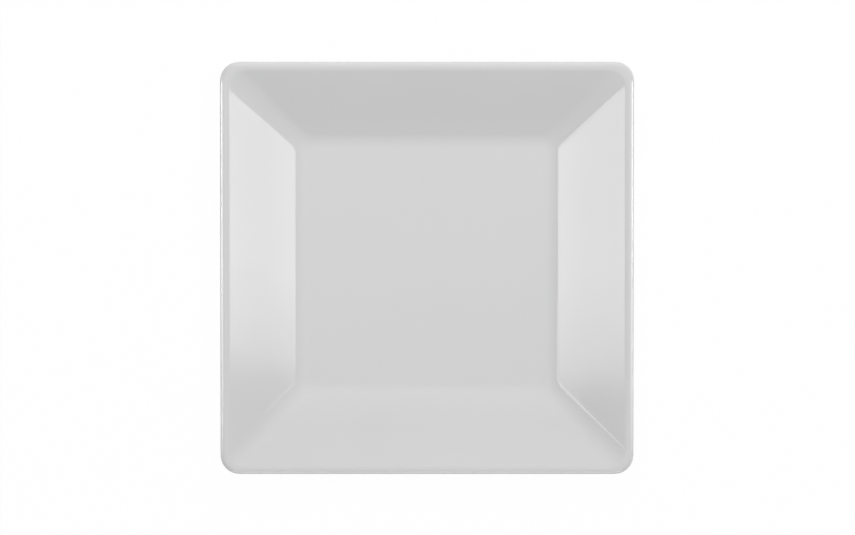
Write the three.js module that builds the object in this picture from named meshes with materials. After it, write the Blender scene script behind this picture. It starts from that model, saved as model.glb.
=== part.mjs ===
// A square white porcelain appetizer plate: a pressed and fired body, and the two coats of glaze that
// the kiln melts onto it. Millimetres, +Z up, with the origin on the table under the plate's centre.
import * as THREE from "three";

// Sizes in plan
const plateWidth = 152.4; // side to side over the glazed rim
const rimCornerRadius = 6.6; // the rim's four corners, over the glaze
const foldWidth = 92.6; // side to side between the folds where the walls meet the well floor
const foldCornerRadius = 5; // the well's four corners at that fold
const footSetOut = 1.2; // how far outside the fold above it the foot ring stands
const footLand = 3.2; // width of the land that stands on the table
const lipLand = 2.25; // width of the level top of the lip, before it is rounded

// Heights and thicknesses
const footHeight = 1.8; // from the table to the underside of the well floor
const heelRise = 0.2; // the back of the walls meets the foot ring this far above that underside
const floorThickness = 3.9; // the fired body under the well
const wellDepth = 13; // from the rim down to the well floor
const lipThickness = 3; // height of the upright edge of the lip, before it is rounded
const glazeThickness = 0.3;
const glazeLine = 0.8; // the foot ring is wiped clean of glaze up to this height

// Roundings and drafts of the body
const coveRadius = 11.5; // between the well floor and the walls
const crownRadius = 3.4; // from the walls onto the level top of the lip
const lipTopRadius = 1.4; // from the top of the lip to its upright edge
const lipBackRadius = 1.6; // from the upright edge to the back of the walls
const heelRadius = 1.5; // between the back and the foot ring
const landRadius = 0.5; // on both edges of the standing land
const recessRadius = 1.2; // between the foot ring and the underside of the well floor
const footDraft = THREE.MathUtils.degToRad(24); // the flanks of the foot ring lean out of upright

// Facets
const cornerSteps = 8; // along each corner of the plate
const sectionStep = THREE.MathUtils.degToRad(9); // along each rounding of the section

// The section of the bare body through the middle of one side, as a sketch of sharp corners with the
// radius that rounds each one. x is the distance out from the plate's centre plane, y the height.
// The sketch runs from the middle of the well over the lip and back to the middle of the underside,
// with the air on its left.
const corner = (x, y, radius = 0) => ({ at: new THREE.Vector2(x, y), radius });

const bodyEdge = plateWidth / 2 - glazeThickness;
const bodyFloor = footHeight + floorThickness;
const bodyRim = bodyFloor + wellDepth;
const foldHalf = foldWidth / 2;
const landOuter = foldHalf + footSetOut;
const landInner = landOuter - footLand;
const heelHeight = footHeight + heelRise;

const wellCentre = corner(0, bodyFloor);
const fold = corner(foldHalf, bodyFloor, coveRadius);
const lipCrown = corner(bodyEdge - lipLand, bodyRim, crownRadius);
const lipTop = corner(bodyEdge, bodyRim, lipTopRadius);
const lipBack = corner(bodyEdge, bodyRim - lipThickness, lipBackRadius);
const heel = corner(landOuter + heelHeight * Math.tan(footDraft), heelHeight, heelRadius);
const footOuterEdge = corner(landOuter, 0, landRadius);
const footInnerEdge = corner(landInner, 0, landRadius);
const recess = corner(landInner - footHeight * Math.tan(footDraft), footHeight, recessRadius);
const baseCentre = corner(0, footHeight);

// The place at a given height on a straight stretch of the sketch.
function cornerAtHeight(from, to, height) {
  const share = (height - from.at.y) / (to.at.y - from.at.y);
  const { x, y } = from.at.clone().lerp(to.at, share);
  return corner(x, y);
}

const outerGlazeLine = cornerAtHeight(heel, footOuterEdge, glazeLine);
const innerGlazeLine = cornerAtHeight(footInnerEdge, recess, glazeLine);

const faceSketch = [wellCentre, fold, lipCrown, lipTop, lipBack, heel, outerGlazeLine];
const footSketch = [footOuterEdge, footInnerEdge];
const baseSketch = [innerGlazeLine, recess, baseCentre];

const directionFrom = (a, b) => b.at.clone().sub(a.at).normalize();
const leftOf = (direction) => new THREE.Vector2(-direction.y, direction.x);

// A sketch moved out into the air by a distance, as a coat of that thickness lies on it. Roundings
// that bulge get wider by that distance, and hollow ones get tighter.
function coated(sketch, distance) {
  return sketch.map((here, i) => {
    const before = directionFrom(sketch[Math.max(i - 1, 0)], sketch[Math.max(i, 1)]);
    const last = sketch.length - 1;
    const after = directionFrom(sketch[Math.min(i, last - 1)], sketch[Math.min(i + 1, last)]);
    const normals = leftOf(before).add(leftOf(after));
    const shift = normals.multiplyScalar(distance / (1 + before.dot(after)));
    const { x, y } = here.at.clone().add(shift);
    const bulge = -Math.sign(before.cross(after));
    return corner(x, y, here.radius && here.radius + bulge * distance);
  });
}

// The points of one rounded corner of a sketch: an arc that touches both of its straight sides.
function roundedCorner(previous, here, next) {
  if (!here.radius) return [here.at];
  const before = directionFrom(previous, here);
  const after = directionFrom(here, next);
  const turn = before.angleTo(after);
  const side = Math.sign(before.cross(after));
  const start = here.at.clone().addScaledVector(before, -here.radius * Math.tan(turn / 2));
  const centre = start.clone().addScaledVector(leftOf(before), side * here.radius);
  const startAngle = start.clone().sub(centre).angle();
  const endAngle = startAngle + side * turn;
  const arc = new THREE.ArcCurve(centre.x, centre.y, here.radius, startAngle, endAngle, side < 0);
  return arc.getPoints(Math.ceil(turn / sectionStep));
}

const sectionPoints = (sketch) =>
  sketch.flatMap((here, i) => roundedCorner(sketch[i - 1], here, sketch[i + 1]));

// Each level of the plate is a rounded square. Its corner radius grows evenly from the well's centre
// to the fold and from the fold to the rim, so that every corner of the walls is a smooth cone.
function cornerRadiusAt(half) {
  if (half < foldHalf) return (foldCornerRadius * half) / foldHalf;
  const outward = (half - foldHalf) / (plateWidth / 2 - foldHalf);
  return THREE.MathUtils.lerp(foldCornerRadius, rimCornerRadius, outward);
}

function roundedSquare(half) {
  const radius = cornerRadiusAt(half);
  const outline = [];
  for (let quarter = 0; quarter < 4; quarter++) {
    const startAngle = (quarter * Math.PI) / 2;
    const diagonal = startAngle + Math.PI / 4;
    const reach = (half - radius) * Math.SQRT2;
    const x = reach * Math.cos(diagonal);
    const y = reach * Math.sin(diagonal);
    const arc = new THREE.ArcCurve(x, y, radius, startAngle, startAngle + Math.PI / 2);
    outline.push(...arc.getPoints(cornerSteps));
  }
  return outline;
}

// A closed solid from a section that starts and ends on the plate's axis: a rounded square at each
// point of the section, joined to the next one, and a fan of triangles at each end.
function squareLoft(section) {
  const levels = section.slice(1, -1);
  const first = section.at(0);
  const last = section.at(-1);
  const positions = [0, 0, first.y];
  for (const level of levels) {
    for (const { x, y } of roundedSquare(level.x)) positions.push(x, y, level.y);
  }
  positions.push(0, 0, last.y);

  const around = 4 * (cornerSteps + 1);
  const vertex = (level, step) => 1 + level * around + (step % around);
  const end = 1 + levels.length * around;
  const triangles = [];
  for (let step = 0; step < around; step++) {
    triangles.push(0, vertex(0, step), vertex(0, step + 1));
    for (let level = 0; level < levels.length - 1; level++) {
      const inner = [vertex(level, step), vertex(level, step + 1)];
      const outer = [vertex(level + 1, step), vertex(level + 1, step + 1)];
      triangles.push(inner[0], outer[0], outer[1], inner[0], outer[1], inner[1]);
    }
    triangles.push(end, vertex(levels.length - 1, step + 1), vertex(levels.length - 1, step));
  }
  const geometry = new THREE.BufferGeometry();
  geometry.setAttribute("position", new THREE.Float32BufferAttribute(positions, 3));
  geometry.setIndex(triangles);
  geometry.computeVertexNormals();
  return geometry;
}

// Pieces
const firedClay = new THREE.MeshStandardMaterial({ color: 0xe8e6e1, roughness: 0.8, metalness: 0 });
const clearGlaze = new THREE.MeshStandardMaterial({ color: 0xe6e6e6, roughness: 0.12, metalness: 0 });

function piece(name, section, material) {
  const mesh = new THREE.Mesh(squareLoft(section), material);
  mesh.name = name;
  return mesh;
}

const bodySection = sectionPoints([...faceSketch, ...footSketch, ...baseSketch]);

const faceOfBody = sectionPoints(faceSketch);
const faceOfGlaze = sectionPoints(coated(faceSketch, glazeThickness));
const coatSection = [...faceOfGlaze, ...faceOfBody.toReversed()];

const baseOfBody = sectionPoints(baseSketch);
const baseOfGlaze = sectionPoints(coated(baseSketch, glazeThickness));
const baseCoatSection = [...baseOfBody.toReversed(), ...baseOfGlaze];

const plate = new THREE.Group();
plate.name = "appetizer_plate";
plate.add(
  piece("porcelain_body", bodySection, firedClay),
  piece("glaze_coat", coatSection, clearGlaze),
  piece("base_glaze", baseCoatSection, clearGlaze),
);

export default plate;
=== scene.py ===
# %% [markdown]
# # A square appetizer plate in white porcelain
# A plate like this is pressed from clay in a mould, fired, dipped in glaze and fired again. What the
# eye sees is mostly the glaze: a third of a millimetre of clear glass over a white body. This lesson
# models the body first, then lays the glaze on it as a second skin, and ends with a soft studio
# light. The solids of the plate are loaded first, because every piece made here has to fit them.

# %% Load the solids of the plate
from math import cos, degrees, radians, sin, tan

import bmesh
import bpy
from mathutils import Matrix, Vector


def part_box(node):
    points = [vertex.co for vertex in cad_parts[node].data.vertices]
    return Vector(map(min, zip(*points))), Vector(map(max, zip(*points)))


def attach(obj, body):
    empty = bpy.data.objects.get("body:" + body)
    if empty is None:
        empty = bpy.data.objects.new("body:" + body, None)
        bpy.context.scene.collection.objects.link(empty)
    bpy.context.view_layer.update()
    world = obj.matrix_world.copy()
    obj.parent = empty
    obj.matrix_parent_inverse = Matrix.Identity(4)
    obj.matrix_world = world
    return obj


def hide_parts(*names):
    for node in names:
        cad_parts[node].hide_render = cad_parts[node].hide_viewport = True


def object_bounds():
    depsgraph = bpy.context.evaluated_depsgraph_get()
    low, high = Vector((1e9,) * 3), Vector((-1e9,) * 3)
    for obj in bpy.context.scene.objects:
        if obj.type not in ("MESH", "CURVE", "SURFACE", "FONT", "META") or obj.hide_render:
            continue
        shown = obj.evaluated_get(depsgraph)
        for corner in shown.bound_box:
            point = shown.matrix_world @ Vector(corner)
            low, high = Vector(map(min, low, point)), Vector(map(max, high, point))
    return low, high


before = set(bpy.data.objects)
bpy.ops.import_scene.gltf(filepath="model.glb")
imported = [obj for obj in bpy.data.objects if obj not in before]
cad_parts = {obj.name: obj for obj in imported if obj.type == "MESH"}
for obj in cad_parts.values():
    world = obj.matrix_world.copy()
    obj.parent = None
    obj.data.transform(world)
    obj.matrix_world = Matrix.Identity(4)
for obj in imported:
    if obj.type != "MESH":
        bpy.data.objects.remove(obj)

solid_low, solid_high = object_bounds()
print("the plate is", [round(side * 1000, 1) for side in solid_high - solid_low], "mm")

# %% [markdown]
# ## The section of the body
# A plate is drawn by its section: the line that a saw cut through the middle of one side would show.
# It runs from the middle of the well, up the sloped wall, over the lip, down the back, round the foot
# ring and in to the middle of the underside. The sketch below has only the sharp corners of that
# line. Each corner has a radius that rounds it later, which is how a mould maker draws it too. The
# main sizes are read from the solids, and the rest are this plate's own sizes.
#
# Levels without a radius are there for the smoothing at the end. The wall has one just above its
# foot and one just below its head, which hold it straight between the two rounds.

# %% Draw the section of the body
MM = 0.001
MIDDLE = 0.62
WALL_FOOT = 0.094
WALL_HEAD = 0.968

body_low, body_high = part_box("porcelain_body")
coat_low, coat_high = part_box("glaze_coat")
base_low, base_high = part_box("base_glaze")

edge = body_high.x
rim_height = body_high.z
foot_height = base_high.z
glaze_thickness = coat_high.z - body_high.z

well_depth = 13 * MM
fold = 46.3 * MM
lip_land = 2.25 * MM
lip_thickness = 3 * MM
land_outer = fold + 1.2 * MM
land_inner = land_outer - 3.2 * MM
heel_height = foot_height + 0.2 * MM
glaze_line = 0.8 * MM
draft = tan(radians(24))
floor_height = rim_height - well_depth


def on_wall(share):
    """A place on the sloped wall, from its foot at 0 to its head at 1."""
    return fold + share * (edge - lip_land - fold), floor_height + share * well_depth


# name of the level, distance out from the centre, height, radius that rounds it
section = [
    ("floor", MIDDLE * fold, floor_height, 0),
    ("fold", fold, floor_height, 11.5 * MM),
    ("wall_foot", *on_wall(WALL_FOOT), 0),
    ("wall_head", *on_wall(WALL_HEAD), 0),
    ("crown", edge - lip_land, rim_height, 3.4 * MM),
    ("lip_top", edge, rim_height, 1.4 * MM),
    ("lip_back", edge, rim_height - lip_thickness, 1.6 * MM),
    ("heel", land_outer + heel_height * draft, heel_height, 1.5 * MM),
    ("outer_glaze_line", land_outer + glaze_line * draft, glaze_line, 0),
    ("land_outer", land_outer, 0, 0.5 * MM),
    ("land_inner", land_inner, 0, 0.5 * MM),
    ("inner_glaze_line", land_inner - glaze_line * draft, glaze_line, 0),
    ("recess", land_inner - foot_height * draft, foot_height, 1.2 * MM),
    ("base", MIDDLE * land_inner, foot_height, 0),
]
print("the section has", len(section), "levels, glaze", round(glaze_thickness / MM, 2), "mm")

# %% [markdown]
# ## One level of the plate
# Seen from above, every level of the plate is a square with rounded corners. A grid of one face whose
# four corners are bevelled gives exactly that. The corner radius grows from the well to the rim, so
# the corners of the walls come out as smooth cones and not as sharp mitres. The first level is the
# middle of the well.
#
# Each straight side is also split close to both of its ends. Those splits hold the side straight up
# to the corner when the piece is smoothed. A crease on the edges could hold it too, but it would
# leave a line in the gloss.

# %% Make the middle of the well
CORNER_STEPS = 6
FOLD_CORNER = 5 * MM
RIM_CORNER = 6.6 * MM
STRAIGHT_SIDE = 10 * MM
HOLD = 0.3 * MM


def corner_radius(half_width):
    """The plan radius of the plate's corners at a level of this half width."""
    if half_width < fold:
        return FOLD_CORNER * half_width / fold
    outward = (half_width - fold) / (edge + glaze_thickness - fold)
    return FOLD_CORNER + (RIM_CORNER - FOLD_CORNER) * outward


body_cage = bmesh.new()
first_name, half_width, height, _ = section[0]
square = bmesh.ops.create_grid(
    body_cage, x_segments=1, y_segments=1, size=half_width,
    matrix=Matrix.Translation((0, 0, height)),
)
bmesh.ops.bevel(
    body_cage, geom=square["verts"], offset=corner_radius(half_width), offset_type="OFFSET",
    segments=CORNER_STEPS, profile=0.5, affect="VERTICES", material=-1,
)

for side in [e for e in body_cage.edges if e.calc_length() > STRAIGHT_SIDE]:
    start, end = side.verts
    length = side.calc_length()
    bmesh.utils.edge_split(side, start, HOLD / length)
    bmesh.utils.edge_split(side, end, HOLD / (length - HOLD))
rings = {first_name: list(body_cage.edges)}
print("the first level has", len(rings[first_name]), "edges")

# %% [markdown]
# ## The blocked-out body
# From there the edge of the well is extruded from level to level, as a potter's hands would follow
# the section. At each step the four corners are scaled to the next radius about their own centres
# and moved to the next place. Bridging loose squares would also do, but it can twist squares that
# lie in one plane. The last level is filled, which closes the underside.

# %% Extrude the edge from level to level
QUARTERS = [(1, 1), (-1, 1), (-1, -1), (1, -1)]


def corner_centre(side_x, side_y, half_width, height):
    """The centre of the round at one corner of a level."""
    reach = half_width - corner_radius(half_width)
    return Vector((side_x * reach, side_y * reach, height))


for level, next_level in zip(section, section[1:]):
    name, half_width, height, _ = level
    next_name, next_half, next_height, _ = next_level
    grown = bmesh.ops.extrude_edge_only(body_cage, edges=rings[name])["geom"]
    new_verts = [part for part in grown if isinstance(part, bmesh.types.BMVert)]
    rings[next_name] = [
        part for part in grown
        if isinstance(part, bmesh.types.BMEdge) and all(v in new_verts for v in part.verts)
    ]
    growth = corner_radius(next_half) / corner_radius(half_width)
    for side_x, side_y in QUARTERS:
        centre = corner_centre(side_x, side_y, half_width, height)
        next_centre = corner_centre(side_x, side_y, next_half, next_height)
        corner = [v for v in new_verts if v.co.x * side_x > 0 and v.co.y * side_y > 0]
        bmesh.ops.scale(
            body_cage, vec=(growth, growth, 1), space=Matrix.Translation(-centre), verts=corner,
        )
        bmesh.ops.translate(body_cage, vec=next_centre - centre, verts=corner)

last_name = section[-1][0]
bmesh.ops.edgeloop_fill(body_cage, edges=rings[last_name])
bmesh.ops.recalc_face_normals(body_cage, faces=body_cage.faces)
body_cage.normal_update()
volume = body_cage.calc_volume() / MM**3 / 1000
print("the blocked-out body holds", round(volume, 1), "cubic centimetres")

# %% [markdown]
# ## Rounded folds
# Nothing on a glazed plate is sharp. Each fold of the section is bevelled by the width that a round
# of its radius takes up on both sides of the fold: the radius times the tangent of half the turn. A
# bevel is chosen over free smoothing, because it keeps the walls straight between the rounds.

# %% Round the folds
ROUND_STEPS = 6


def turn_at(index):
    """The angle by which the section turns at one of its levels."""
    (_, x0, y0, _), (_, x1, y1, _), (_, x2, y2, _) = section[index - 1:index + 2]
    before = Vector((x1 - x0, y1 - y0))
    after = Vector((x2 - x1, y2 - y1))
    return before.angle(after)


for index, (name, _, _, radius) in enumerate(section):
    if not radius:
        continue
    turn = turn_at(index)
    bmesh.ops.bevel(
        body_cage, geom=rings[name], offset=radius * tan(turn / 2), offset_type="OFFSET",
        segments=ROUND_STEPS, profile=0.5, affect="EDGES", material=-1,
    )
    body_cage.normal_update()
    turned = round(degrees(turn), 1)
    print(name, "turns", turned, "degrees on a radius of", round(radius / MM, 1), "mm")

# %% [markdown]
# ## Even faces
# The pieces get a Subdivision Surface at the end, which pulls each face towards its neighbours. On
# very long faces that pull would bow the straight sides and walls. More smoothing levels wouldn't
# help, so all long edges are cut first.

# %% Cut the long edges
LONG_EDGE = 8 * MM
CUTS = 5

long_edges = [e for e in body_cage.edges if e.calc_length() > LONG_EDGE]
bmesh.ops.subdivide_edges(body_cage, edges=long_edges, cuts=CUTS, use_grid_fill=True)
bmesh.ops.recalc_face_normals(body_cage, faces=body_cage.faces)
body_cage.normal_update()
open_edges = sum(not e.is_manifold for e in body_cage.edges)
print("the body has", len(body_cage.faces), "faces and", open_edges, "open edges")

# %% [markdown]
# ## From cage to piece
# A cage becomes a piece when its faces are shaded smooth and a Subdivision Surface rounds it. The
# glaze pieces also get a Solidify before that, which lays the coat on the outside of the body's own
# faces. Every piece stays at the origin, with its place in its mesh.

# %% A helper that turns a cage into a piece
SMOOTHING = 2


def piece_from_cage(name, cage, coat_thickness=0):
    """Makes an object from a cage, with a coat of this thickness laid outside its faces, if any."""
    for face in cage.faces:
        face.smooth = True
    mesh = bpy.data.meshes.new(name)
    cage.to_mesh(mesh)
    piece = bpy.data.objects.new(name, mesh)
    bpy.context.scene.collection.objects.link(piece)
    if coat_thickness:
        coat = piece.modifiers.new("coat", "SOLIDIFY")
        coat.thickness = coat_thickness
        coat.offset = 1
        coat.use_even_offset = True
    smooth = piece.modifiers.new("smooth", "SUBSURF")
    smooth.levels = SMOOTHING
    smooth.render_levels = SMOOTHING
    return piece


bare_body = piece_from_cage("bare_body", body_cage)
print("bare_body has", len(bare_body.data.polygons), "faces before smoothing")

# %% [markdown]
# ## The coats of glaze
# The plate is dipped whole, and the foot ring is wiped clean so that it doesn't stick to the kiln
# shelf. That leaves two coats: one over the face, the lip and the back, and one on the underside
# inside the foot ring. Each is a copy of the cage that keeps only the faces its glaze covers, so the
# coat fits the body exactly. Painting the glaze on the body would be simpler, but the step at the
# wiped line would be lost.

# %% Lay the two coats of glaze
HAIR = 0.01 * MM


def is_inside_foot(face):
    """True for the faces of the underside that the foot ring goes round."""
    centre = face.calc_center_median()
    return centre.z < foot_height + HAIR and max(abs(centre.x), abs(centre.y)) < land_inner


def is_glazed(face):
    """True for the faces above the line up to which the foot ring is wiped."""
    return face.calc_center_median().z > glaze_line


def glaze_coat_over(name, wanted):
    """A coat of glaze over the faces of the body that the test wants."""
    coat_cage = body_cage.copy()
    unwanted = [face for face in coat_cage.faces if not wanted(face)]
    bmesh.ops.delete(coat_cage, geom=unwanted, context="FACES")
    piece = piece_from_cage(name, coat_cage, glaze_thickness)
    coat_cage.free()
    return piece


glazed_face = glaze_coat_over(
    "glazed_face", lambda face: is_glazed(face) and not is_inside_foot(face),
)
glazed_base = glaze_coat_over(
    "glazed_base", lambda face: is_glazed(face) and is_inside_foot(face),
)
body_cage.free()
for coat in (glazed_face, glazed_base):
    print(coat.name, "covers", len(coat.data.polygons), "faces")

# %% [markdown]
# ## Helpers for the finishes
# All finishes are built from nodes on Object coordinates, which are metres on the plate itself. An
# image could carry a finish too, but it needs a file and blurs up close. A few small helpers keep
# the nodes readable. The first three make a material, add a node with its settings, and give the
# place on the plate.

# %% Helpers that make a finish


def new_finish(name):
    """A material with its node tree and its shader."""
    finish = bpy.data.materials.new(name)
    finish.use_nodes = True
    return finish, finish.node_tree, finish.node_tree.nodes["Principled BSDF"]


def add_node(tree, kind, inputs, **settings):
    """A node with its settings; each input is a value or the socket that feeds it."""
    node = tree.nodes.new(kind)
    for key, value in settings.items():
        setattr(node, key, value)
    for key, value in inputs.items():
        if isinstance(value, bpy.types.NodeSocket):
            tree.links.new(value, node.inputs[key])
        else:
            node.inputs[key].default_value = value
    return node


def plate_place(tree):
    """The place on the plate, and its X, Y and Z."""
    place = add_node(tree, "ShaderNodeTexCoord", {}).outputs["Object"]
    axes = add_node(tree, "ShaderNodeSeparateXYZ", {"Vector": place}).outputs
    return place, axes["X"], axes["Y"], axes["Z"]


print("a finish can be made")

# %% [markdown]
# ## Noise, ranges and blends
# Wear and firing leave patches, so most of the finishes come from noise of a given size, with its
# values mapped to the range that is wanted. A colour ramp could do that too, but a range says in
# two numbers where a change starts and ends. Sums and blends put the results together.

# %% Helpers that mix values and colours


def noise(tree, place, patch, detail=2.0):
    """Smooth noise whose patches are about this wide in metres."""
    inputs = {"Vector": place, "Scale": 1 / patch, "Detail": detail}
    return add_node(tree, "ShaderNodeTexNoise", inputs).outputs["Fac"]


def map_range(tree, value, from_min, from_max, to_min, to_max, kind="LINEAR"):
    """Maps a value from one range to another and holds it there."""
    inputs = {
        "Value": value,
        "From Min": from_min, "From Max": from_max,
        "To Min": to_min, "To Max": to_max,
    }
    return add_node(tree, "ShaderNodeMapRange", inputs, interpolation_type=kind).outputs["Result"]


def calculate(tree, operation, *values):
    """One sum on values or sockets."""
    inputs = dict(enumerate(values))
    return add_node(tree, "ShaderNodeMath", inputs, operation=operation).outputs["Value"]


def blend(tree, share, colour, other_colour):
    """Two colours blended by a share from 0 to 1."""
    inputs = {"Fac": share, "Color1": colour, "Color2": other_colour}
    return add_node(tree, "ShaderNodeMixRGB", inputs).outputs["Color"]


print("values and colours can be mixed")

# %% [markdown]
# ## White glaze
# Plate glaze is clear glass over a white body, so it is a nearly neutral white with a sharp
# reflection. It is never quite even: faint clouds go across it, and the edge along the wiped line
# is thin and warm. The walls are coloured darker than the well, which is painted shade, and the
# outer edge of the lip a little lighter than the walls, which is painted light. One flat white would
# do from far off, but it looks like plastic up close. The distance out from the plate's centre,
# square like the plate, tells the nodes where wall and lip are.

# %% Colour the white glaze
WELL_TONE = (0.705, 0.705, 0.705, 1)
PAINTED_SHADE_WALL_TONE = (0.666, 0.666, 0.666, 1)
PAINTED_LIGHT_LIP_TONE = (0.690, 0.688, 0.684, 1)
CLOUD_TONE = (0.690, 0.692, 0.694, 1)
LINE_TONE = (0.60, 0.56, 0.49, 1)
FOOT_OF_WALL = (44 * MM, 60 * MM)
EDGE_OF_LIP = (74.2 * MM, 75.6 * MM)
CLOUD_SIZE = 30 * MM
CLOUD_SHARE = 0.4
LINE_WIDTH = 0.4 * MM
LINE_SHARE = 0.7
PATCHES = (0.3, 0.7)

white_glaze, tree, shader = new_finish("white_glaze")
place, x, y, z = plate_place(tree)
x_out, y_out = calculate(tree, "ABSOLUTE", x), calculate(tree, "ABSOLUTE", y)
distance_out = calculate(tree, "MAXIMUM", x_out, y_out)

up_the_wall = map_range(tree, distance_out, *FOOT_OF_WALL, 0, 1, "SMOOTHSTEP")
over_the_lip = map_range(tree, distance_out, *EDGE_OF_LIP, 0, 1, "SMOOTHSTEP")
# Painted shade: the walls are coloured darker than the well.
cover = blend(tree, up_the_wall, WELL_TONE, PAINTED_SHADE_WALL_TONE)
# Painted light: the outer edge of the lip is coloured lighter than the walls.
cover = blend(tree, over_the_lip, cover, PAINTED_LIGHT_LIP_TONE)
cloud = map_range(tree, noise(tree, place, CLOUD_SIZE), *PATCHES, 0, CLOUD_SHARE)
cover = blend(tree, cloud, cover, CLOUD_TONE)
at_the_line = map_range(tree, z, glaze_line, glaze_line + LINE_WIDTH, LINE_SHARE, 0)
cover = blend(tree, at_the_line, cover, LINE_TONE)
print("the glaze goes from", WELL_TONE[0], "in the well to", PAINTED_SHADE_WALL_TONE[0], "on the walls")

# %% [markdown]
# ## Pinholes
# Gas that leaves the clay in the kiln can open the glaze in a few pinholes, each a tenth or two of a
# millimetre wide. Dots could be modelled, but they would cost many faces for very little. The points
# of a Voronoi texture are spread in the same way, so the places closest to them become pinholes.

# %% Prick the pinholes
PINHOLE_TONE = (0.42, 0.40, 0.37, 1)
PINHOLES_APART = 14 * MM
PINHOLE_SIZE = (0.008, 0.014)

dots = {"Vector": place, "Scale": 1 / PINHOLES_APART}
from_dot = add_node(tree, "ShaderNodeTexVoronoi", dots).outputs["Distance"]
pinholes = map_range(tree, from_dot, *PINHOLE_SIZE, 1, 0)
cover = blend(tree, pinholes, cover, PINHOLE_TONE)
tree.links.new(cover, shader.inputs["Base Color"])
for coat in (glazed_face, glazed_base):
    coat.data.materials.append(white_glaze)
print("white glaze with pinholes on", glazed_face.name, "and", glazed_base.name)

# %% [markdown]
# ## The gloss of the glaze
# The glaze sets with a faint waviness and a fine orange peel, which make the ends of highlights
# wobble. The pinholes are small dents in it. Cutlery and stacking dull it most along the lip. One
# number for the roughness would be simpler, but fine patches are what the eye takes for use.

# %% Polish the white glaze
SCUFF_SIZE = 2.5 * MM
SCUFF_PATCHES = (0.5, 0.7)
SCUFF_DULLS = 0.05
GLOSS_PATCH = 12 * MM
GLOSS = (0.045, 0.075)
GLASS_IOR = 1.55
WAVE_LENGTH = 16 * MM
PEEL_LENGTH = 1.6 * MM
PEEL_SHARE = 0.04
PINHOLE_DEPTH = 3.0
WAVE_HEIGHT = 0.01 * MM

scuffs = noise(tree, place, SCUFF_SIZE, detail=3.0)
dulled = map_range(tree, scuffs, *SCUFF_PATCHES, 0, SCUFF_DULLS)
rubbed = calculate(tree, "MULTIPLY", over_the_lip, dulled)
gloss = map_range(tree, noise(tree, place, GLOSS_PATCH), *PATCHES, *GLOSS)
tree.links.new(calculate(tree, "ADD", gloss, rubbed), shader.inputs["Roughness"])
shader.inputs["IOR"].default_value = GLASS_IOR

waves = noise(tree, place, WAVE_LENGTH, detail=1.0)
peel = noise(tree, place, PEEL_LENGTH, detail=1.0)
height = calculate(tree, "MULTIPLY_ADD", peel, PEEL_SHARE, waves)
dents = calculate(tree, "MULTIPLY", pinholes, PINHOLE_DEPTH)
height = calculate(tree, "SUBTRACT", height, dents)
relief = {"Height": height, "Strength": 1.0, "Distance": WAVE_HEIGHT}
surface = add_node(tree, "ShaderNodeBump", relief)
tree.links.new(surface.outputs["Normal"], shader.inputs["Normal"])
print("the gloss has waves of", WAVE_HEIGHT / MM, "mm, a fine peel and pinholes")

# %% [markdown]
# ## Fired porcelain
# Only the standing land of the foot ring is bare. Fired clay without glaze is matt, a little warmer
# than the glaze, and finely grained. Where it stands on the table it is rubbed smoother and slightly
# grey. The grain is far too fine to model, so it is noise in the colour and in the bump.

# %% Mix the bare porcelain
CLAY_LIGHT = (0.77, 0.755, 0.725, 1)
CLAY_DARK = (0.66, 0.645, 0.61, 1)
SMUDGE = (0.46, 0.45, 0.43, 1)
GRAIN_SIZE = 0.5 * MM
GRAIN_HEIGHT = 0.03 * MM
GRAIN_STRENGTH = 0.6
LAND_HEIGHT = 0.25 * MM
RUB_SIZE = 7 * MM
RUB_PATCHES = (0.45, 0.7)
LEAST_RUB, MOST_RUB = 0.05, 0.5
MATT, RUBBED_SMOOTH = 0.85, 0.6

fired_porcelain, tree, shader = new_finish("fired_porcelain")
place, _, _, z = plate_place(tree)
grain = noise(tree, place, GRAIN_SIZE, detail=4.0)
clay = blend(tree, map_range(tree, grain, *PATCHES, 0, 1), CLAY_DARK, CLAY_LIGHT)
on_the_land = map_range(tree, z, 0, LAND_HEIGHT, 1, 0, "SMOOTHSTEP")
rub = map_range(tree, noise(tree, place, RUB_SIZE), *RUB_PATCHES, LEAST_RUB, MOST_RUB)
rubbed = calculate(tree, "MULTIPLY", on_the_land, rub)
tree.links.new(blend(tree, rubbed, clay, SMUDGE), shader.inputs["Base Color"])

dullness = map_range(tree, rubbed, 0, MOST_RUB, MATT, RUBBED_SMOOTH)
tree.links.new(dullness, shader.inputs["Roughness"])
relief = {"Height": grain, "Strength": GRAIN_STRENGTH, "Distance": GRAIN_HEIGHT}
surface = add_node(tree, "ShaderNodeBump", relief)
tree.links.new(surface.outputs["Normal"], shader.inputs["Normal"])
bare_body.data.materials.append(fired_porcelain)
print("bare porcelain on", bare_body.name)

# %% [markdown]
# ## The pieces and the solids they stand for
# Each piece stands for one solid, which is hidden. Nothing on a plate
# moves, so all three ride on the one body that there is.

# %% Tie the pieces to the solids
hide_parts("porcelain_body")
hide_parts("glaze_coat")
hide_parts("base_glaze")
for piece in (bare_body, glazed_face, glazed_base):
    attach(piece, "root")
print("pieces tied to", list(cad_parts))

# %% [markdown]
# ## The floor
# The plate was photographed on pure white. More light would make a grey floor white too, but it would
# bleach the plate. So the floor glows at just under white for the rays that see it, with a trace of
# the plate's shadow left on it, and lights the plate only as a pale floor would. From below it is
# clear, and a square window under the foot ring lets light reach the underside.

# %% Lay the white floor
FLOOR_SIZE = 6.0
FLOOR_DROP = 0.1 * MM
FLOOR_TONE = (0.9, 0.9, 0.9, 1)
SHADOW_SHARE = 0.02

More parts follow.
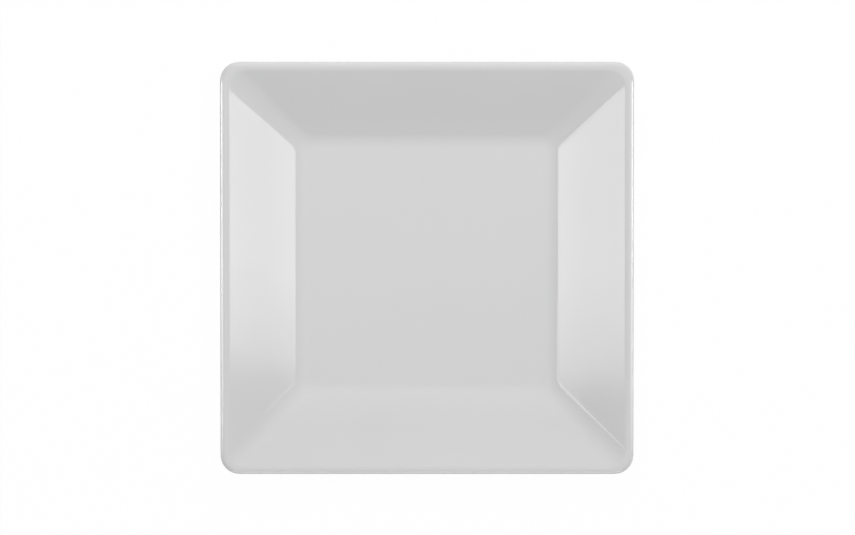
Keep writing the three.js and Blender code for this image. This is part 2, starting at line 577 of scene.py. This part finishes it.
floor_cage = bmesh.new()
bmesh.ops.create_grid(
    floor_cage, x_segments=1, y_segments=1, size=FLOOR_SIZE / 2,
    matrix=Matrix.Translation((0, 0, -FLOOR_DROP)),
)
whole_floor = list(floor_cage.faces)
bmesh.ops.inset_region(
    floor_cage, faces=whole_floor, thickness=FLOOR_SIZE / 2 - land_outer,
    use_boundary=True, use_even_offset=True,
)
bmesh.ops.delete(floor_cage, geom=whole_floor, context="FACES")
floor_mesh = bpy.data.meshes.new("studio_floor")
floor_cage.to_mesh(floor_mesh)
floor_cage.free()
studio_floor = bpy.data.objects.new("studio_floor", floor_mesh)
bpy.context.scene.collection.objects.link(studio_floor)
print("the floor is", FLOOR_SIZE, "m wide, with", len(floor_mesh.polygons), "faces round its window")

# %% [markdown]
# ## The white of the floor
# White paper under studio lamps is matt and has no grain that a camera would see from here. Light
# Path tells the rays that look at the floor from those that only carry light off it. The first kind
# meets a glow, the second the plain matt colour.

# %% Paint the floor


def seen_directly(tree):
    """1 for the rays that show the surroundings: to the camera, mirrored or through glass."""
    path = add_node(tree, "ShaderNodeLightPath", {}).outputs
    seen = calculate(tree, "MAXIMUM", path["Is Camera Ray"], path["Is Glossy Ray"])
    return calculate(tree, "MAXIMUM", seen, path["Is Transmission Ray"])


white_floor, tree, shader = new_finish("white_floor")
shader.inputs["Base Color"].default_value = FLOOR_TONE
shader.inputs["Roughness"].default_value = 1.0
shader.inputs["Specular IOR Level"].default_value = 0.0
glow = add_node(tree, "ShaderNodeEmission", {"Strength": 1.0}).outputs["Emission"]
clear = add_node(tree, "ShaderNodeBsdfTransparent", {}).outputs["BSDF"]
glow_share = calculate(tree, "MULTIPLY", seen_directly(tree), 1 - SHADOW_SHARE)
lit_side = {0: glow_share, 1: shader.outputs["BSDF"], 2: glow}
top_side = add_node(tree, "ShaderNodeMixShader", lit_side).outputs["Shader"]
behind = add_node(tree, "ShaderNodeNewGeometry", {}).outputs["Backfacing"]
both_sides = add_node(tree, "ShaderNodeMixShader", {0: behind, 1: top_side, 2: clear})
tree.links.new(both_sides.outputs["Shader"], tree.nodes["Material Output"].inputs["Surface"])
floor_mesh.materials.append(white_floor)
print("the floor glows at", 1 - SHADOW_SHARE)

# %% [markdown]
# ## A lamp with a face
# Lamps for glossy ware are large and soft, because the glaze mirrors their shape. An area lamp gives
# that. Its power is worked out from the brightness of its face, since that is what the glaze shows
# and what can be judged from a photograph. A glowing plane would do too, but an area lamp renders
# with less noise, and can be kept out of the gloss or out of the shading.

# %% A helper that hangs a lamp


def softbox(name, place, aim, length, width, brightness):
    """An area lamp that faces a point. Its brightness is that of its face, where 1 is white."""
    lamp = bpy.data.lights.new(name, "AREA")
    lamp.shape = "RECTANGLE"
    lamp.size = length
    lamp.size_y = width
    lamp.energy = 4 * length * width * brightness
    box = bpy.data.objects.new(name, lamp)
    box.location = place
    box.rotation_euler = (Vector(aim) - Vector(place)).to_track_quat("-Z", "Y").to_euler()
    box.visible_camera = False
    bpy.context.scene.collection.objects.link(box)
    return box


print("lamps can be hung")

# %% [markdown]
# ## The side panels
# The photograph shows how the plate was lit. The left and right walls carry long highlights that stop
# at crisp lines where the walls end, and fade towards the near edge: two tall upright panels stand
# left and right of the plate, and their near ends are soft. Each wall mirrors the panel across from
# it. The left panel is the taller one, and its top is mirrored as a streak down the near right
# corner. A thin bright line on the outside of the lip is the foot of the panels, which is brighter.
#
# An even lamp would give even highlights, so nodes on the lamp set its level by the place on its
# face. The walls mirror only a few centimetres of its height, and the parts that their feet and their
# heads mirror have levels of their own. The panels show in the gloss alone, so that the shade of the
# walls can be set without them. All lamps are hidden from the camera.

# %% Set up the side panels
PANEL_OUT = 0.75
PANEL_FOOT = 0.02
PANEL_FAR_END = 0.05
SOFT_END = 0.012
BRIGHTEST = -0.093
FAR_PLACE = -0.03
FAR_SHARE = 0.94
FOOT_FADE = 0.04
FOOT_TOP = (0.15, 0.25)
SEEN_BY_FOLD = (0.681, 0.693)
SEEN_BY_CROWN = (0.702, 0.709)


def product(tree, *factors):
    """All the factors multiplied."""
    total = factors[0]
    for factor in factors[1:]:
        total = calculate(tree, "MULTIPLY", total, factor)
    return total


def side_panel(name, side, near_end, top, brightness, near_share, foot_from, foot_gains,
               fold_share, crown_share):
    """A tall panel beside the plate that shows in the gloss alone, with a soft near end.

    The shares are the levels of its near end and of the parts that the foot and the head of the
    wall mirror. The gains are the levels of its foot at the near and at the far end.
    """
    length, height = PANEL_FAR_END - near_end, top - PANEL_FOOT
    y, z = near_end + length / 2, PANEL_FOOT + height / 2
    panel = softbox(name, (side * PANEL_OUT, y, z), (0, y, z), length, height, brightness)
    panel.visible_diffuse = False
    panel.data.use_nodes = True
    tree = panel.data.node_tree
    spot = add_node(tree, "ShaderNodeNewGeometry", {}).outputs["Position"]
    axes = add_node(tree, "ShaderNodeSeparateXYZ", {"Vector": spot}).outputs
    along, up = axes["Y"], axes["Z"]
    soft_end = map_range(tree, along, near_end, near_end + SOFT_END, 0, 1)
    near_part = map_range(tree, along, near_end + SOFT_END, BRIGHTEST, near_share, 1)
    far_part = map_range(tree, along, BRIGHTEST, FAR_PLACE, 1, FAR_SHARE)
    gain = map_range(tree, along, foot_from, foot_from + FOOT_FADE, *foot_gains)
    foot_part = map_range(tree, up, *FOOT_TOP, gain, 1)
    fold_part = map_range(tree, up, *SEEN_BY_FOLD, fold_share, 1)
    crown_part = map_range(tree, up, *SEEN_BY_CROWN, 1, crown_share)
    level = product(tree, soft_end, near_part, far_part, foot_part, fold_part, crown_part)
    tree.links.new(level, tree.nodes["Emission"].inputs["Strength"])
    return panel


panel_left = side_panel(
    "panel_left", side=-1, near_end=-0.149, top=0.815, brightness=2.77, near_share=0.69,
    foot_from=-0.09, foot_gains=(1.9, 3.9), fold_share=1.2, crown_share=0.93,
)
panel_right = side_panel(
    "panel_right", side=1, near_end=-0.142, top=0.729, brightness=2.30, near_share=0.60,
    foot_from=-0.08, foot_gains=(1.5, 3.8), fold_share=1.25, crown_share=1.33,
)
print("side panels:", panel_left.name, "and", panel_right.name)

# %% [markdown]
# ## The cards and the broad light
# A small card over the near end of the left panel is mirrored along the far right corner, and ends
# its highlight in a crisp line. A card in front is mirrored in the roll of the near lip, which would
# be too dark without it. The near wall is lighter than the far one, so the broad soft light hangs
# beyond the plate, far enough away to light both ends of the well almost alike. It could show in the
# gloss too, but the photograph has no mirrored lamp in the well, so it only lights the plate.

# %% Set up the cards and the broad light
corner_card = softbox(
    "corner_card", place=(-PANEL_OUT, -0.1525, 0.85), aim=(0, -0.1525, 0.85),
    length=0.075, width=0.07, brightness=2.6,
)
front_card = softbox(
    "front_card", place=(0, -0.75, 0.29), aim=(0, 0, 0.29),
    length=0.7, width=0.4, brightness=2.5,
)
for card in (corner_card, front_card):
    card.visible_diffuse = False
broad_light = softbox(
    "broad_light", place=(0.085, 0.497, 1.171), aim=(0, 0, 0),
    length=0.81, width=0.72, brightness=4.52,
)
broad_light.visible_glossy = False

# %% [markdown]
# ## The room
# The room fills the shadows with soft light, a little more of it from the right. In the gloss it is
# white along the horizon, like the paper that the plate stands on, grey overhead, darker in front and
# nearly black to both sides, where the panels stand out against it. The paper rises higher in front,
# towards the foot of the picture. A plain grey world would be simpler, but its reflection would lie
# over the walls like a veil.

# %% Light the room
FILL = 0.375
FILL_LEAN = 0.125
GREY_ROOM = 0.6
DARK_SIDES = 0.05
SIDES_FADE = (0.25, 0.6)
DARK_FRONT = 0.4
FRONT_FADE = (-0.75, -0.3)
PAPER_EDGE = 0.03
FRONT_PAPER_EDGE = 0.2
PAPER_TURN = (-0.9, -0.5)
PAPER_FADE = 0.12
MIRRORED_PAPER = (0.3, 0.45)

room = bpy.data.worlds.new("room")
bpy.context.scene.world = room
room.use_nodes = True
tree = room.node_tree
room_light = tree.nodes["Background"]
room_light.inputs["Color"].default_value = (1, 1, 1, 1)
path = add_node(tree, "ShaderNodeLightPath", {}).outputs
ray = add_node(tree, "ShaderNodeTexCoord", {}).outputs["Generated"]
axes = add_node(tree, "ShaderNodeSeparateXYZ", {"Vector": ray}).outputs

fill = map_range(tree, axes["X"], -1, 1, FILL - FILL_LEAN, FILL + FILL_LEAN)
paper_edge = map_range(tree, axes["Y"], *PAPER_TURN, FRONT_PAPER_EDGE, PAPER_EDGE)
paper_end = calculate(tree, "ADD", paper_edge, PAPER_FADE)
lighting = map_range(tree, axes["Z"], paper_edge, paper_end, 1, fill)

sideways = calculate(tree, "ABSOLUTE", axes["X"])
across = map_range(tree, sideways, *SIDES_FADE, GREY_ROOM, DARK_SIDES)
in_front = map_range(tree, axes["Y"], *FRONT_FADE, DARK_FRONT, 1)
mirrored_room = product(tree, across, in_front)
mirrored = map_range(tree, axes["Z"], *MIRRORED_PAPER, 1, mirrored_room)

lit = map_range(tree, path["Is Glossy Ray"], 0, 1, lighting, mirrored)
straight = calculate(tree, "MAXIMUM", path["Is Camera Ray"], path["Is Transmission Ray"])
tree.links.new(calculate(tree, "MAXIMUM", straight, lit), room_light.inputs["Strength"])
print("the room fills the shadows at", FILL)

# %% [markdown]
# ## The camera
# The photograph looks down on the middle of the plate from almost straight above. The rim is as wide
# at the top of the picture as at the bottom, so the lens is long and far away. The rim is a little
# less high than wide, and the far wall looks narrower than the near one: the camera stands a few
# degrees beyond the plate's middle. The rim fills 414 of the 855 pixels across, and the middle of the
# picture lies a fraction of a millimetre beside the plate's own.

# %% Place the camera
IMAGE_WIDTH = 855
RIM_PIXELS = 413.6
LENS = 450
SENSOR = 36
TILT = radians(4.8)
BESIDE_MIDDLE = (0.18 * MM, 0.26 * MM)

frame_width = (solid_high.x - solid_low.x) * IMAGE_WIDTH / RIM_PIXELS
distance = frame_width * LENS / SENSOR
target = Vector((*BESIDE_MIDDLE, rim_height - lip_thickness / 2))

lens = bpy.data.cameras.new("camera")
lens.lens = LENS
lens.sensor_width = SENSOR
lens.sensor_fit = "HORIZONTAL"
camera = bpy.data.objects.new("camera", lens)
camera.location = target + distance * Vector((0, sin(TILT), cos(TILT)))
camera.rotation_euler = (-TILT, 0, 0)
bpy.context.scene.collection.objects.link(camera)
bpy.context.scene.camera = camera
bpy.context.scene.view_settings.view_transform = "Standard"
print("the camera looks down from", round(camera.location.z, 2), "m")
